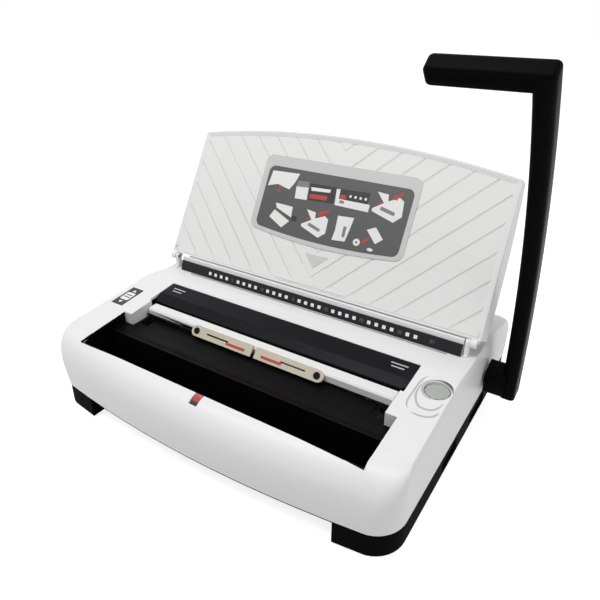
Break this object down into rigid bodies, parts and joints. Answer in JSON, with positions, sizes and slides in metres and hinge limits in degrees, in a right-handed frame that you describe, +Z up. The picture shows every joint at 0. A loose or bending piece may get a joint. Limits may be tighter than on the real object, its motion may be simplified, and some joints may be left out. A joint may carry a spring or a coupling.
{
  "type": "wire binding machine",
  "caption": "Desk wire binding machine: a side lever drives a row of square punches and a wire closing bar; a folding cover serves as the paper rest, with a size dial and a chip drawer.",
  "frame": {"origin": "on the table plane under the middle of the whole machine, lever included; the body's own middle is 14 mm to the left of it", "axes": "+X to the machine's right, where the lever is; +Y to its rear; +Z up from the table"},
  "size_m": [0.4264, 0.344, 0.3584],
  "materials": {
    "white_body": "smooth white moulding",
    "cover_grey": "pale grey moulding with fine grooves",
    "black_plastic": "fine-grained black moulding",
    "black_sheet": "satin black powder coat",
    "lever_black": "satin black powder coat",
    "scale_black": "black strip with white marks",
    "rubber": "dull rubber",
    "steel": "ground steel",
    "dark_steel": "blackened steel",
    "alloy": "satin extrusion",
    "bronze": "plain bearing bronze",
    "beige": "cream paint",
    "red_plastic": "red moulding",
    "label_grey": "printed plate",
    "dial_grey": "pale grey moulding"
  },
  "bodies": {
    "base": {"base_tray": "black_plastic", "foot_pads": "rubber", "top_housing": "white_body", "housing_screws": "steel", "bay_liner": "black_plastic", "beam_cover": "black_sheet", "scale_strip": "scale_black", "die_plate": "steel", "guide_plate": "steel", "paper_stop": "steel", "edge_stop": "black_plastic", "side_plate_left": "steel", "side_plate_right": "steel", "shaft_bushes": "bronze", "guide_rods": "steel", "rod_clips": "dark_steel", "return_springs": "steel", "hinge_brackets": "white_body", "hinge_pins": "steel", "lid_catch": "red_plastic"},
    "lever": {"lever_arm": "lever_black", "lever_screw": "dark_steel", "drive_shaft": "steel", "punch_pinions": "dark_steel", "closer_pinions": "dark_steel", "shaft_collars": "dark_steel"},
    "punch": {"punch_bar": "dark_steel", "punch_pins": "steel", "punch_racks": "dark_steel", "slide_bushes": "bronze"},
    "closer": {"closing_bar": "alloy", "closer_arms": "dark_steel", "wire_holders": "beige", "holder_screws": "black_sheet", "holder_rod": "black_sheet"},
    "dial": {"dial_knob": "dial_grey", "dial_spindle": "steel", "stop_cam": "black_plastic"},
    "cover": {"cover_shell": "white_body", "cover_panel": "cover_grey", "label_plate": "label_grey"},
    "drawer": {"chip_drawer": "white_body"}
  },
  "joints": [
    {"name": "lever_hinge", "type": "hinge", "parent": "base", "child": "lever", "pos_m": [0, 0.066, 0.051], "axis": [1, 0, 0], "range_deg": [0, 65], "stiffness_Nm_per_rad": 2, "springref_deg": -34.38},
    {"name": "punch_slide", "type": "slide", "parent": "base", "child": "punch", "axis": [0, -1, 0], "range_m": [0, 0.0137], "deforming": ["return_springs"]},
    {"name": "closer_slide", "type": "slide", "parent": "base", "child": "closer", "axis": [0, -1, 0], "range_m": [0, 0.0137]},
    {"name": "dial_turn", "type": "hinge", "parent": "base", "child": "dial", "pos_m": [0.16475, -0.044, 0.08], "axis": [0, 0, 1], "range_deg": [0, 270]},
    {"name": "cover_hinge", "type": "hinge", "parent": "base", "child": "cover", "pos_m": [0, 0.025, 0.105], "axis": [1, 0, 0], "range_deg": [0, 126.5]},
    {"name": "drawer_slide", "type": "slide", "parent": "base", "child": "drawer", "axis": [-1, 0, 0], "range_m": [0, 0.18]}
  ],
  "couplings": [
    {"joint": "punch_slide", "follows": "lever_hinge", "m_per_rad": 0.012},
    {"joint": "closer_slide", "follows": "lever_hinge", "m_per_rad": 0.012}
  ]
}
